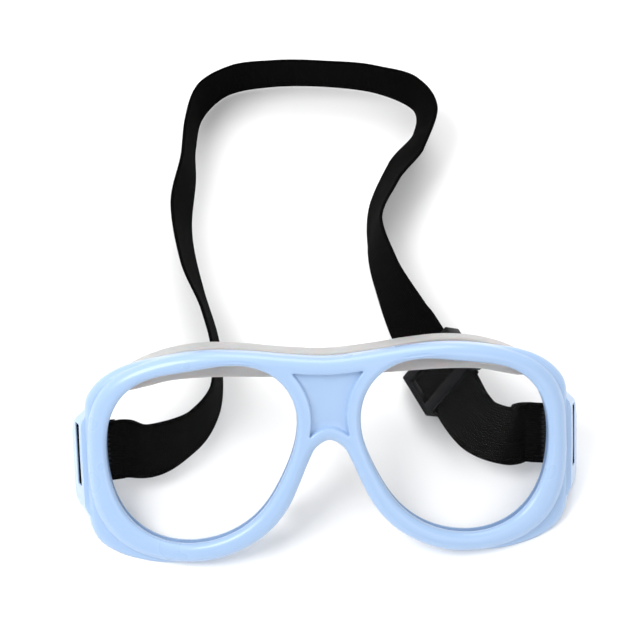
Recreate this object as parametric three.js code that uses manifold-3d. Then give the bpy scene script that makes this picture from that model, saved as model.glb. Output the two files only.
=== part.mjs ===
// Sports protective goggles, standing on a table with the head strap looped behind them.
// A moulded front carries two clear lenses, a soft brow pad, a soft nose pad and a strap wing
// at each side. The elastic strap folds round a pin in each wing, and a tri-glide slider on
// the wearer's left sets its length.
// Millimetres. +Z is up, the table is Z = 0, +X is to the right of someone who faces the
// goggles, and the wearer's head is towards +Y. The strap's loop lies behind the front.
import * as THREE from 'three';
import { mergeVertices } from 'three/addons/utils/BufferGeometryUtils.js';
import Module from 'manifold-3d';

const wasm = await Module();
wasm.setup();

// Driving dimensions of the front, in its own upright frame: x across, y up, z to the front.
const LEAN_BACK = 47;            // degrees the front leans back from upright
const WRAP_RADIUS = 300;         // curve of the front across the face
const FRONT_DEPTH = 6.5;         // rim, front to back
const ROLL = 1.7;                // rounding of the rim's edges
const LENS_CENTRE = 37.3;        // lens centre from the middle
const LENS_MEAN_RADIUS = 27.1;   // mean radius of a lens opening
const LENS_THICKNESS = 2;
const LENS_DOME = 1.2;           // how far a lens bulges forward
const LENS_SET_BACK = 2.9;       // lens edge behind the rim's front
const LENS_HOLD = 1.2;           // lens edge inside the rim's groove
const GAP = 0.3;                 // air between neighbouring pieces
const BEND_SPAN = 10;            // longest straight run across the curved front
const RECESS_DEPTH = 1.8;        // sunk panel in the bridge
const SHELL_SET_BACK = 2.2;      // flared shell behind the rim's front
const SHELL_ROLL = 1.2;
const SHELL_INNER = 2.5;         // its inner edge from the lens opening, inside the rim
const PAD_FRONT = FRONT_DEPTH + GAP;
const BROW_PAD_DEPTH = 8.2;
const NOSE_PAD_DEPTH = 6.2;

// The strap wings.
const WING_FLARE = 18;           // degrees that a wing spreads outwards
const WING_THICKNESS = 4.6;
const WING_ROOT = { x: 70.69, z: -9.98 };   // outer face where it leaves the rim
const WING_REACH = 14.2;         // from there to the rear edge
const SLOT_AT = 6.4;             // slot centre from the wing's root
const SLOT_Y = -2.5;
const SLOT = { width: 3.1, height: 19.6 };
const SEAT = { width: 4.9, height: 22.4, depth: 3.4 };   // sunk seat for the pin

// The strap and its hardware.
const STRAP_WIDTH = 18;
const STRAP_THICKNESS = 1;
const PLY = 0.65;                // each of two plies from their shared middle
const PIN_RADIUS = 0.7;
const PIN_LENGTH = 21.2;
const LOOP_CLEARANCE = 0.25;     // webbing to pin
const PIN_DEPTH = 1.5;           // pin centre below the wing's outer face
const LOOP_REACH = 10;           // pin centre to the end of the folded loop
const WEBBING_LEAN_AT_SLOT = 45.5;
const SLIDER = { length: 16, rail: 1.9, bar: 3.4, thickness: 1.6 };
const SLIDER_TRAVEL = 8;

// Where the front's own origin, midway between the lenses, stands.
const FRONT_AT = { y: -5.665, z: 28.5 };

// The strap's route from the wearer's right wing round to the left one: the middle of the
// webbing, then how far its upper edge leans to the left of the run.
const STRAP_ROUTE = [
  [-51.3, 10.5, 13.6, 31], [-40.3, 16.8, 11.6, 12], [-33.5, 27.1, 9.9, 5], [-32.2, 40.7, 9.6, 8],
  [-34, 54.7, 9.5, 13], [-39, 72.3, 9.4, 19], [-41.8, 94, 9.4, 18], [-39.2, 111.8, 9.6, 11],
  [-38.2, 125.7, 9.6, 7], [-34.6, 138.4, 9.6, 3], [-24.9, 146.6, 9.6, -6],
  [-10.3, 149, 9.6, -9], [6.8, 148.3, 9.6, -10], [24.1, 145.2, 9.6, -8],
  [37, 138.2, 9.6, 0], [39.2, 127, 9.4, 21], [31.9, 114.2, 8.4, 37], [23.9, 100.3, 9.2, 26],
  [20, 85.5, 9.6, 10], [22.4, 69.8, 9.5, 18], [27.9, 53, 9.6, 34], [30.14, 47.33, 10.36, 40],
  [36.04, 33.13, 12.25, 40], [42.7, 17.1, 14.4, 40], [46.2, 12.4, 15, 38], [53, 9.7, 14.8, 38],
];
const SLIDER_AT = [36.04, 33.13, 12.25];   // middle of the route's straight stretch

const DEG = Math.PI / 180;
const X_AXIS = new THREE.Vector3(1, 0, 0);
const Z_AXIS = new THREE.Vector3(0, 0, 1);

// ---------------------------------------------------------------- solids

function solid(geometry) {
  let merged = geometry;
  if (geometry.attributes.normal) {
    const bare = geometry.clone();
    bare.deleteAttribute('normal');
    bare.deleteAttribute('uv');
    merged = mergeVertices(bare, 1e-4);
  }
  return new wasm.Manifold(new wasm.Mesh({
    numProp: 3,
    vertProperties: Float32Array.from(merged.attributes.position.array),
    triVerts: Uint32Array.from(merged.index.array),
  }));
}

function geometryOf(body) {
  const mesh = body.getMesh();
  const sameAs = new Map();
  mesh.mergeFromVert.forEach((from, i) => sameAs.set(from, mesh.mergeToVert[i]));
  const geometry = new THREE.BufferGeometry();
  const positions = [];
  for (let i = 0; i < mesh.vertProperties.length; i += mesh.numProp) {
    positions.push(...mesh.vertProperties.slice(i, i + 3));
  }
  geometry.setAttribute('position', new THREE.Float32BufferAttribute(positions, 3));
  geometry.setIndex(Array.from(mesh.triVerts, (v) => sameAs.get(v) ?? v));
  return geometry;
}

function box(width, height, depth, x, y, z) {
  return new THREE.BoxGeometry(width, height, depth).translate(x, y, z);
}

// A flat plate between two heights, with its edges rounded by `roll` when that is given.
function plate(shape, front, back, roll = 0) {
  const depth = front - back;
  const geometry = new THREE.ExtrudeGeometry(shape, {
    depth: depth - 2 * roll, steps: 1, curveSegments: 10,
    bevelEnabled: roll > 0, bevelThickness: roll, bevelSize: roll, bevelOffset: -roll,
    bevelSegments: 3,
  });
  return geometry.translate(0, 0, back + roll);
}

// Splits every edge that spans more than `span` across the face, so that the surface can bend.
function refined(geometry, span) {
  const bare = geometry.clone();
  bare.deleteAttribute('normal');
  bare.deleteAttribute('uv');
  const merged = bare.index ? bare : mergeVertices(bare, 1e-4);
  const points = Array.from(merged.attributes.position.array);
  let triangles = Array.from(merged.index.array);
  let split = true;
  while (split) {
    split = false;
    const middles = new Map();
    const middle = (a, b) => {
      if (Math.abs(points[3 * a] - points[3 * b]) <= span) return null;
      const key = a < b ? `${a} ${b}` : `${b} ${a}`;
      if (!middles.has(key)) {
        middles.set(key, points.length / 3);
        for (let k = 0; k < 3; k += 1) points.push((points[3 * a + k] + points[3 * b + k]) / 2);
      }
      return middles.get(key);
    };
    const next = [];
    for (let i = 0; i < triangles.length; i += 3) {
      const corners = triangles.slice(i, i + 3);
      const cuts = corners.map((a, k) => middle(a, corners[(k + 1) % 3]));
      const ring = corners.flatMap((a, k) => (cuts[k] === null ? [a] : [a, cuts[k]]));
      if (ring.length === 6) {
        next.push(ring[0], ring[1], ring[5], ring[1], ring[2], ring[3]);
        next.push(ring[3], ring[4], ring[5], ring[1], ring[3], ring[5]);
      } else {
        const first = Math.max(0, ring.findIndex((v) => cuts.includes(v)));
        for (let k = 1; k + 1 < ring.length; k += 1) {
          next.push(ring[first], ring[(first + k) % ring.length],
            ring[(first + k + 1) % ring.length]);
        }
      }
      split = split || ring.length > 3;
    }
    triangles = next;
  }
  const result = new THREE.BufferGeometry();
  result.setAttribute('position', new THREE.Float32BufferAttribute(points, 3));
  result.setIndex(triangles);
  return result;
}

// Bends a shape made flat to the front's curve.
function wrapped(flat) {
  const geometry = refined(flat, BEND_SPAN);
  const position = geometry.attributes.position;
  for (let i = 0; i < position.count; i += 1) {
    const x = position.getX(i);
    position.setZ(i, position.getZ(i) - (x * x) / (2 * WRAP_RADIUS));
  }
  return geometry;
}

function mirrored(geometry) {
  const copy = geometry.clone();
  copy.scale(-1, 1, 1);
  const index = copy.index.array;
  for (let i = 0; i < index.length; i += 3) {
    [index[i], index[i + 2]] = [index[i + 2], index[i]];
  }
  return copy;
}

function smoothShape(points, divisions) {
  const curve = new THREE.CatmullRomCurve3(
    points.map(([x, y]) => new THREE.Vector3(x, y, 0)), true, 'centripetal');
  const ring = curve.getPoints(divisions).slice(0, divisions);
  return new THREE.Shape(ring.map((p) => new THREE.Vector2(p.x, p.y)));
}

function bothHalves(rightHalf) {
  const left = rightHalf.filter(([x]) => x > 0).map(([x, y]) => [-x, y]).reverse();
  return [...rightHalf, ...left];
}

// ---------------------------------------------------------------- outlines of the front

// A lens opening: a circle drawn out up towards the nose and down towards the temple.
function lensRadius(angle) {
  return LENS_MEAN_RADIUS + 0.5 * Math.cos(2 * angle) - 2.1 * Math.sin(2 * angle)
    + 1.4 * Math.sin(3 * angle) - 0.8 * Math.cos(4 * angle);
}

function lensOutline(side, grow, divisions = 64) {
  const points = [];
  for (let i = 0; i < divisions; i += 1) {
    const angle = (2 * Math.PI * i) / divisions;
    const radius = lensRadius(angle) + grow;
    points.push(new THREE.Vector2(side * (LENS_CENTRE + radius * Math.cos(angle)),
      radius * Math.sin(angle)));
  }
  return side > 0 ? points : points.reverse();
}

function frontOutline() {
  return smoothShape(bothHalves([
    [0, 27], [10.5, 27.8], [22.5, 29.1], [34, 29.5], [45, 28.2], [54, 25.6], [61, 22],
    [66.2, 16.6], [69, 9.5], [69.8, 0], [69.6, -10], [67.8, -18.5], [63.8, -25.2],
    [57.5, -29.9], [50, -32.4], [42, -33.2], [33.5, -32.3], [25.5, -29.3], [18, -24.2],
    [12.5, -17.5], [8.8, -10], [6.3, -4], [3.8, 0.6], [0, 2.7],
  ]), 120);
}

// The shell that widens behind the rim towards each temple and carries the wing. Its inner
// edge lies within the rim.
function shellOutline() {
  const shape = smoothShape([
    [40, 28.2], [48, 27.5], [55.4, 25.9], [61.6, 23.3], [66.6, 19.6], [69.8, 15], [70.5, 10],
    [70.6, 0], [70.6, -10], [70.6, -19], [70.2, -24], [68.2, -27.6], [63.2, -30.9],
    [56.4, -33.2], [49, -33.9], [41, -33], [34, -31.2], [36, -20], [38, 0], [38, 18],
  ].reverse(), 100);
  return shape;
}

function recessOutline() {
  const shape = new THREE.Shape();
  shape.moveTo(-10.4, 23.3);
  shape.quadraticCurveTo(0, 21.8, 10.4, 23.3);
  shape.bezierCurveTo(7.2, 19.6, 3.4, 13, 5.9, 3.8);
  shape.quadraticCurveTo(0, 9.6, -5.9, 3.8);
  shape.bezierCurveTo(-3.4, 13, -7.2, 19.6, -10.4, 23.3);
  return shape;
}

// ---------------------------------------------------------------- the moulded front

// Moves a piece from the wing's own frame to the front's: x out of the wing's face, y up,
// z forwards along the wing, with its origin at the wing's root.
function ontoWing(geometry) {
  return geometry.rotateY(-WING_FLARE * DEG).translate(WING_ROOT.x, 0, WING_ROOT.z);
}

// A plate in the wing's plane: the shape's x runs back from the root, its y up.
function wingPlate(shape, outer, inner) {
  const geometry = new THREE.ExtrudeGeometry(shape, {
    depth: outer - inner, steps: 1, curveSegments: 8, bevelEnabled: false,
  });
  return geometry.rotateY(Math.PI / 2).translate(inner, 0, 0);
}

function slotShape(width, height) {
  const shape = new THREE.Shape();
  const r = width / 2;
  const h = height / 2 - r;
  shape.absarc(SLOT_AT, SLOT_Y + h, r, 0, Math.PI, false);
  shape.absarc(SLOT_AT, SLOT_Y - h, r, Math.PI, 2 * Math.PI, false);
  return shape;
}

function wing() {
  const outline = new THREE.Shape();
  outline.moveTo(-3, 15);
  outline.lineTo(1, 15.3);
  outline.bezierCurveTo(5, 14.6, WING_REACH, 12, WING_REACH, 4);
  outline.lineTo(WING_REACH, -12);
  outline.quadraticCurveTo(WING_REACH, -17.6, 11.6, -19.8);
  outline.lineTo(3.4, -24.2);
  outline.quadraticCurveTo(0, -26, -3, -22.4);
  return solid(ontoWing(wingPlate(outline, 0, -WING_THICKNESS)));
}

function pinSeat() {
  const seat = wingPlate(slotShape(SEAT.width, SEAT.height), 5, -SEAT.depth);
  const slot = wingPlate(slotShape(SLOT.width, SLOT.height), 5, -10);
  return solid(ontoWing(seat)).add(solid(ontoWing(slot)));
}

function frameFront() {
  const outline = frontOutline();
  outline.holes = [-1, 1].map((side) => new THREE.Path(lensOutline(side, 0)));
  let body = solid(plate(outline, 0, -FRONT_DEPTH, ROLL));
  const bare = solid(plate(shellOutline(), -SHELL_SET_BACK, -FRONT_DEPTH, SHELL_ROLL));
  const within = new THREE.Shape(lensOutline(1, SHELL_INNER));
  const shell = bare.subtract(solid(plate(within, 5, -20)));
  body = body.add(shell).add(solid(mirrored(geometryOf(shell))));
  for (const side of [-1, 1]) {
    const groove = new THREE.Shape(lensOutline(side, LENS_HOLD + GAP));
    const front = GAP - LENS_SET_BACK;
    body = body.subtract(solid(plate(groove, front, front - LENS_THICKNESS - 2 * GAP)));
  }
  body = body.subtract(solid(plate(recessOutline(), 5, -RECESS_DEPTH)));
  const front = wrapped(geometryOf(body));
  const onBothSides = (right) => right.add(solid(mirrored(geometryOf(right))));
  const whole = solid(front).add(onBothSides(wing())).subtract(onBothSides(pinSeat()));
  // The front is trimmed flat where it meets the table.
  const table = box(400, 400, 100, 0, 0, -50);
  table.applyMatrix4(standing.clone().invert());
  return geometryOf(whole.subtract(solid(table)));
}

// ---------------------------------------------------------------- lenses and pads

function lens(side) {
  const rings = 5;
  const rim = lensOutline(side, LENS_HOLD);
  const centre = side * LENS_CENTRE;
  const positions = [];
  const index = [];
  for (const back of [0, LENS_THICKNESS]) {
    positions.push(centre, 0, LENS_DOME - LENS_SET_BACK - back);
    for (let k = 1; k <= rings; k += 1) {
      const t = k / rings;
      for (const p of rim) {
        positions.push(centre + (p.x - centre) * t, p.y * t,
          LENS_DOME * (1 - t * t) - LENS_SET_BACK - back);
      }
    }
  }
  const n = rim.length;
  const half = 1 + rings * n;
  const at = (face, k, i) => face * half + 1 + (k - 1) * n + (i % n);
  for (let i = 0; i < n; i += 1) {
    index.push(0, at(0, 1, i), at(0, 1, i + 1));
    index.push(half, at(1, 1, i + 1), at(1, 1, i));
    for (let k = 1; k < rings; k += 1) {
      index.push(at(0, k, i), at(0, k + 1, i), at(0, k + 1, i + 1));
      index.push(at(0, k, i), at(0, k + 1, i + 1), at(0, k, i + 1));
      index.push(at(1, k, i), at(1, k + 1, i + 1), at(1, k + 1, i));
      index.push(at(1, k, i), at(1, k, i + 1), at(1, k + 1, i + 1));
    }
    index.push(at(0, rings, i), at(1, rings, i), at(1, rings, i + 1));
    index.push(at(0, rings, i), at(1, rings, i + 1), at(0, rings, i + 1));
  }
  const geometry = new THREE.BufferGeometry();
  geometry.setAttribute('position', new THREE.Float32BufferAttribute(positions, 3));
  geometry.setIndex(index);
  return wrapped(geometry);
}

function browPad() {
  const shape = smoothShape(bothHalves([
    [0, 27.4], [12, 28.2], [24, 29.5], [34, 29.9], [44, 28.6], [53, 25.6], [58.9, 21.8],
    [60.2, 19], [57.8, 17.2], [52, 18.2], [45, 20], [34, 20.9], [20, 20.8], [8, 20.4],
    [0, 20.3],
  ]), 80);
  return wrapped(plate(shape, -PAD_FRONT, -PAD_FRONT - BROW_PAD_DEPTH, 1));
}

function nosePad() {
  const shape = smoothShape(bothHalves([
    [0, 9.6], [5, 8.6], [8.4, 4.4], [10.4, -2.4], [12.6, -9], [15.2, -14.6], [16.9, -18.4],
    [16.4, -20.4], [14.4, -20.4], [12.9, -18.4], [11, -15], [8.6, -10.2], [6.2, -4.4], [3.8, 0.2], [0, 2.2],
  ]), 64);
  return wrapped(plate(shape, -PAD_FRONT, -PAD_FRONT - NOSE_PAD_DEPTH, 0.8));
}

// ---------------------------------------------------------------- strap anchors

// The pin's centre and its wing's outward direction, in the front's frame.
function anchorPoint(side) {
  const run = WING_FLARE * DEG;
  const out = new THREE.Vector3(side * Math.cos(run), 0, Math.sin(run));
  const at = new THREE.Vector3(
    side * (WING_ROOT.x + SLOT_AT * Math.sin(run)), SLOT_Y, WING_ROOT.z - SLOT_AT * Math.cos(run));
  return { at: at.addScaledVector(out, -PIN_DEPTH), out };
}

// Sets a piece made round the Z axis, with its loop's legs towards +X, onto an anchor.
function ontoAnchor(geometry, side) {
  const { at, out } = anchorPoint(side);
  const inwards = out.clone().negate();
  const up = new THREE.Vector3(0, 1, 0);
  const across = new THREE.Vector3().crossVectors(up, inwards);
  return geometry.applyMatrix4(new THREE.Matrix4().makeBasis(inwards, across, up).setPosition(at));
}

function anchorPin(side) {
  const pin = new THREE.CylinderGeometry(PIN_RADIUS, PIN_RADIUS, PIN_LENGTH, 16);
  return ontoAnchor(pin.rotateX(Math.PI / 2), side);
}

// Webbing folded round a pin, with both legs running inwards through the slot. Their ends are
// cut on a slant: `slant` is the change of reach for each millimetre across the legs.
function foldedLoop(pinRadius, reach, slant = 0) {
  const inner = pinRadius + LOOP_CLEARANCE;
  const outer = inner + STRAP_THICKNESS;
  const inside = PLY - STRAP_THICKNESS / 2;
  const outside = PLY + STRAP_THICKNESS / 2;
  const innerStart = Math.asin(inside / inner);
  const outerStart = Math.asin(outside / outer);
  const shape = new THREE.Shape();
  shape.moveTo(reach + slant * outside, outside);
  shape.absarc(0, 0, outer, outerStart, 2 * Math.PI - outerStart, false);
  shape.lineTo(reach - slant * outside, -outside);
  shape.lineTo(reach - slant * inside, -inside);
  shape.absarc(0, 0, inner, 2 * Math.PI - innerStart, innerStart, true);
  shape.lineTo(reach + slant * inside, inside);
  const geometry = new THREE.ExtrudeGeometry(shape, {
    depth: STRAP_WIDTH, steps: 1, curveSegments: 16, bevelEnabled: false,
  });
  return geometry.translate(0, 0, -STRAP_WIDTH / 2);
}

// ---------------------------------------------------------------- strap

// The whole route, from pin to pin, as points with a lean.
function strapStations() {
  const ends = [-1, 1].map((side) => {
    const { at, out } = anchorPoint(side);
    return [LOOP_REACH, LOOP_REACH + 3].map((reach) => {
      const p = at.clone().addScaledVector(out, -reach).applyMatrix4(standing);
      return [p.x, p.y, p.z, WEBBING_LEAN_AT_SLOT];
    });
  });
  const rows = STRAP_ROUTE.map(([x, y, z, lean]) => [x, y + FRONT_AT.y, z, lean]);
  return [...ends[0], ...rows, ...ends[1].reverse()];
}

// Steps along the route. Each gives the webbing's middle, its run, the way across its width
// and the way out of its face towards the inside of the loop.
function strapSteps() {
  const stations = strapStations();
  const curve = new THREE.CatmullRomCurve3(
    stations.map(([x, y, z]) => new THREE.Vector3(x, y, z)), false, 'centripetal');
  const perSpan = 3;
  const count = (stations.length - 1) * perSpan;
  const steps = [];
  for (let i = 0; i <= count; i += 1) {
    const t = i / count;
    const k = Math.min(Math.floor(i / perSpan), stations.length - 2);
    const mix = i / perSpan - k;
    const lean = THREE.MathUtils.lerp(stations[k][3], stations[k + 1][3], mix) * DEG;
    const run = curve.getTangent(t);
    const left = new THREE.Vector3().crossVectors(Z_AXIS, run).normalize();
    const upright = new THREE.Vector3().crossVectors(run, left);
    const across = upright.multiplyScalar(Math.cos(lean)).addScaledVector(left, Math.sin(lean));
    const face = new THREE.Vector3().crossVectors(run, across).normalize();
    const meetsLoop = i === 0 || i === count;
    steps.push({ at: curve.getPoint(t), run, across, face, meetsLoop });
  }
  return steps;
}

// A flat band through the given steps, `offset` out of the route's face. Its ends next to the
// folded loops are cut square to the X axis, which the strap swings about.
function ribbon(steps, offset) {
  const positions = [];
  const index = [];
  const half = STRAP_THICKNESS / 2;
  for (const { at, run, across, face, meetsLoop } of steps) {
    for (const [w, t] of [[-1, -half], [1, -half], [1, half], [-1, half]]) {
      const p = at.clone().addScaledVector(across, (w * STRAP_WIDTH) / 2)
        .addScaledVector(face, offset + t);
      if (meetsLoop) p.addScaledVector(run, (at.x - p.x) / run.x);
      positions.push(p.x, p.y, p.z);
    }
  }
  const last = 4 * (steps.length - 1);
  for (let i = 0; i < last; i += 4) {
    for (let k = 0; k < 4; k += 1) {
      const a = i + k;
      const b = i + ((k + 1) % 4);
      // Both broad faces split along the same diagonal, so a twisted stretch keeps its thickness.
      if (k === 2) index.push(a, b, b + 4, a, b + 4, a + 4);
      else index.push(a, b, a + 4, b, b + 4, a + 4);
    }
  }
  index.push(0, 2, 1, 0, 3, 2, last, last + 1, last + 2, last, last + 2, last + 3);
  const geometry = new THREE.BufferGeometry();
  geometry.setAttribute('position', new THREE.Float32BufferAttribute(positions, 3));
  geometry.setIndex(index);
  return geometry;
}

// ---------------------------------------------------------------- slider

// The slider's frame: x along the strap, y across it, z out of its face.
function sliderMatrix(steps) {
  const middle = new THREE.Vector3(SLIDER_AT[0], SLIDER_AT[1] + FRONT_AT.y, SLIDER_AT[2]);
  const nearest = steps.reduce((best, step) => (
    step.at.distanceTo(middle) < best.at.distanceTo(middle) ? step : best));
  return new THREE.Matrix4().makeBasis(nearest.run, nearest.across, nearest.face)
    .setPosition(nearest.at);
}

// Heights out of the strap's face: the strap itself, then the folded end round the mid bar.
const STRAP_MID = PLY;
const TOP_BARS = STRAP_MID + STRAP_THICKNESS / 2 + GAP;
const MID_BAR_RADIUS = 0.8;
const MID_BAR = STRAP_MID - STRAP_THICKNESS / 2 - GAP - STRAP_THICKNESS - LOOP_CLEARANCE
  - MID_BAR_RADIUS;

function strapSlider() {
  const { length, rail, bar, thickness } = SLIDER;
  const inside = STRAP_WIDTH + 2 * GAP + 0.4;
  const low = MID_BAR - MID_BAR_RADIUS;
  const high = TOP_BARS + thickness;
  let body = null;
  const join = (geometry) => {
    const piece = solid(geometry);
    body = body ? body.add(piece) : piece;
  };
  for (const side of [-1, 1]) {
    join(box(length, rail, high - low, 0, side * (inside + rail) / 2, (high + low) / 2));
    join(box(bar, inside + rail, thickness, side * (length - bar) / 2, 0, high - thickness / 2));
  }
  const mid = new THREE.CylinderGeometry(MID_BAR_RADIUS, MID_BAR_RADIUS, inside + rail, 16);
  join(mid.translate(0, 0, MID_BAR));
  return geometryOf(body);
}

function strapEndLoop() {
  const loop = foldedLoop(MID_BAR_RADIUS, SLIDER.length / 2);
  return loop.rotateX(Math.PI / 2).translate(0, 0, MID_BAR);
}

// ---------------------------------------------------------------- assembly

function material(color, roughness, opacity = 1) {
  return new THREE.MeshStandardMaterial({
    color, roughness, metalness: 0, opacity, transparent: opacity < 1,
  });
}

function named(name, geometry, look) {
  const mesh = new THREE.Mesh(geometry, look);
  mesh.name = name;
  return mesh;
}

const frameLook = material(0xaecbf3, 0.25);
const lensLook = material(0xf4f8fa, 0.05, 0.3);
const padLook = material(0xe2dedd, 0.45, 0.9);
const webbingLook = material(0x0b0a0b, 0.9);
const hardwareLook = material(0x141416, 0.4);

const front = new THREE.Group();
front.rotation.x = (90 - LEAN_BACK) * DEG;
front.position.set(0, FRONT_AT.y, FRONT_AT.z);
front.updateMatrix();
const standing = front.matrix.clone();

front.add(named('frame_front', frameFront(), frameLook));
front.add(named('brow_pad', browPad(), padLook));
front.add(named('nose_pad', nosePad(), padLook));
for (const [name, side] of [['left', -1], ['right', 1]]) {
  front.add(named(`${name}_lens`, lens(side), lensLook));
  front.add(named(`${name}_anchor_pin`, anchorPin(side), hardwareLook));
  const slant = -side * Math.tan(WING_FLARE * DEG);   // ends square to the swing axis
  const loop = ontoAnchor(foldedLoop(PIN_RADIUS, LOOP_REACH - GAP, slant), side);
  front.add(named(`${name}_strap_loop`, loop, webbingLook));
}

const steps = strapSteps();
const sliderPlace = sliderMatrix(steps);
const sliderStep = steps.findIndex((step) => step.at.distanceTo(
  new THREE.Vector3().setFromMatrixPosition(sliderPlace)) < 1e-6);
const clearOfSlider = steps.findIndex((step, i) => i > sliderStep
  && step.at.distanceTo(steps[sliderStep].at) > SLIDER.length / 2 + SLIDER_TRAVEL + GAP);

const strap = new THREE.Group();
strap.add(named('head_strap', ribbon(steps, STRAP_MID), webbingLook));
strap.add(named('strap_return', ribbon(steps.slice(clearOfSlider), -PLY), webbingLook));

const adjuster = new THREE.Group();
adjuster.applyMatrix4(sliderPlace);
adjuster.add(named('strap_slider', strapSlider(), hardwareLook));
adjuster.add(named('strap_end_loop', strapEndLoop(), webbingLook));

const group = new THREE.Group();
group.add(front, strap, adjuster);

export default group;
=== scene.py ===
# Sports protective goggles: light blue moulded front, clear lenses, silicone pads and a black
# elastic head strap. Shapes are worked out in millimetres and set down in metres.
import math

import bmesh
import bpy
import numpy as np
from mathutils import Matrix, Vector, geometry


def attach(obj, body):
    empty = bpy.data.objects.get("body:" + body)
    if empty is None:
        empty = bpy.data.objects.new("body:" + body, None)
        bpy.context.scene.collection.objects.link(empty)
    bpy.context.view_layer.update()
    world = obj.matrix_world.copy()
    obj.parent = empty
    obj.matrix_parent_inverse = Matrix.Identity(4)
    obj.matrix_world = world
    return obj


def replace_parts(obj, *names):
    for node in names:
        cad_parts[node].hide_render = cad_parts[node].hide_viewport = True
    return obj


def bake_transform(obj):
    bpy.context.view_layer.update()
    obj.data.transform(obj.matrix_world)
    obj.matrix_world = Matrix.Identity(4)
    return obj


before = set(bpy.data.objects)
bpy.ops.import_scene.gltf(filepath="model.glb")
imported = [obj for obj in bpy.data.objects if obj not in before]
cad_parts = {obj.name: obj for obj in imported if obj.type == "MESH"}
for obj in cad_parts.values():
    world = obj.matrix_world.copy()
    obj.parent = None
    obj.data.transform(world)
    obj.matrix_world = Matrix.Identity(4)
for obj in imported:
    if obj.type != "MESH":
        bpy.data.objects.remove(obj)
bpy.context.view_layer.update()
MM = 0.001

# ---------------------------------------------------------------- the front's own frame
# x across, y up the front, z out of its face; it leans back and stands on its lower edge.
LEAN_BACK = 47.0
WRAP_RADIUS = 300.0
FRONT_DEPTH = 6.5
LENS_CENTRE = 37.3
LENS_MEAN_RADIUS = 27.1
LENS_THICKNESS = 2.0
LENS_DOME = 1.2
LENS_SET_BACK = 2.9
LENS_HOLD = 1.2
LENS_EDGE = 0.18
GAP = 0.3
FRONT_AT = Vector((0.0, -5.665, 28.5))
STANDING = Matrix.Translation(FRONT_AT) @ Matrix.Rotation(math.radians(90 - LEAN_BACK), 4, "X")
TURN = np.array(STANDING.to_3x3())

WING_FLARE = math.radians(18)
WING_THICKNESS = 4.6
WING_ROOT = Vector((70.69, 0.0, -9.98))
WING_REACH = 14.2
SLOT_AT, SLOT_Y = 6.4, -2.5
SLOT_WIDTH, SLOT_HEIGHT = 3.1, 19.6
SLIT_WIDTH, SLIT_HEIGHT = 4.1, 18.6    # its mouth in the wing's outer face
SEAT_WIDTH, SEAT_DEPTH = 4.5, 3.4      # room for the fold behind that mouth

STRAP_WIDTH = 18.0
STRAP_THICKNESS = 1.0
PLY = 0.65
PIN_RADIUS = 0.7
PIN_DEPTH = 1.5
LOOP_CLEARANCE = 0.25                  # between the webbing and the slider's middle bar
LOOP_REACH = 10.0
FOLD_CLEARANCE = 0.05                  # between a drawn fold and the pin inside it
FOLD_END_GAP = 0.02
LEAN_AT_SLOT = 45.5


def standing(points):
    """Points of the front's frame, in the shared frame."""
    return np.asarray(points, float) @ TURN.T + np.array(STANDING.translation)


def wrapped(points):
    """Bends points made flat to the front's curve."""
    bent = np.array(points, float)
    bent[:, 2] -= bent[:, 0] ** 2 / (2 * WRAP_RADIUS)
    return bent


def smoothstep(t):
    t = min(1, max(0, t))
    return t * t * (3 - 2 * t)


# ---------------------------------------------------------------- meshes
def linked(name, data):
    made = bpy.data.objects.new(name, data)
    bpy.context.scene.collection.objects.link(made)
    return made


def finished(name, build):
    """An object from a bmesh, which is freed."""
    mesh = bpy.data.meshes.new(name)
    build.to_mesh(mesh)
    build.free()
    return linked(name, mesh)


def mesh_piece(name, points, faces, body, smooth_angle=40):
    """A mesh object from points in millimetres in the shared frame."""
    mesh = bpy.data.meshes.new(name)
    mesh.from_pydata([tuple(p) for p in np.asarray(points, float) * MM], [], faces)
    mesh.validate()
    build = bmesh.new()
    build.from_mesh(mesh)
    bmesh.ops.recalc_face_normals(build, faces=build.faces)
    build.to_mesh(mesh)
    build.free()
    piece = linked(name, mesh)
    shade(piece, smooth_angle)
    if body:
        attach(piece, body)
    return piece


def shade(piece, angle):
    mesh = piece.data
    mesh.polygons.foreach_set("use_smooth", [True] * len(mesh.polygons))
    mesh.set_sharp_from_angle(angle=math.radians(angle))


def closed_spline(points, count):
    """A smooth closed curve through points, as `count` points."""
    points = np.asarray(points, float)
    n = len(points)
    out = []
    for i in range(count):
        t = i * n / count
        k = int(t)
        p = [points[(k + j - 1) % n] for j in range(4)]
        out.append(catmull(p, t - k))
    return np.array(out)


def catmull(p, t):
    """The point at t, from p[1] to p[2], on a centripetal Catmull-Rom curve."""
    gaps = [max(np.linalg.norm(p[j + 1] - p[j]) ** 0.5, 1e-6) for j in range(3)]
    slope_a = ((p[1] - p[0]) / gaps[0] - (p[2] - p[0]) / (gaps[0] + gaps[1])
               + (p[2] - p[1]) / gaps[1]) * gaps[1]
    slope_b = ((p[2] - p[1]) / gaps[1] - (p[3] - p[1]) / (gaps[1] + gaps[2])
               + (p[3] - p[2]) / gaps[2]) * gaps[1]
    return ((2 * t ** 3 - 3 * t ** 2 + 1) * p[1] + (t ** 3 - 2 * t ** 2 + t) * slope_a
            + (3 * t ** 2 - 2 * t ** 3) * p[2] + (t ** 3 - t ** 2) * slope_b)


def both_halves(right):
    return right + [(-x, y) for x, y in reversed(right) if x > 0]


def area(ring):
    x, y = ring[:, 0], ring[:, 1]
    return 0.5 * float(np.sum(x * np.roll(y, -1) - np.roll(x, -1) * y))


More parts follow.
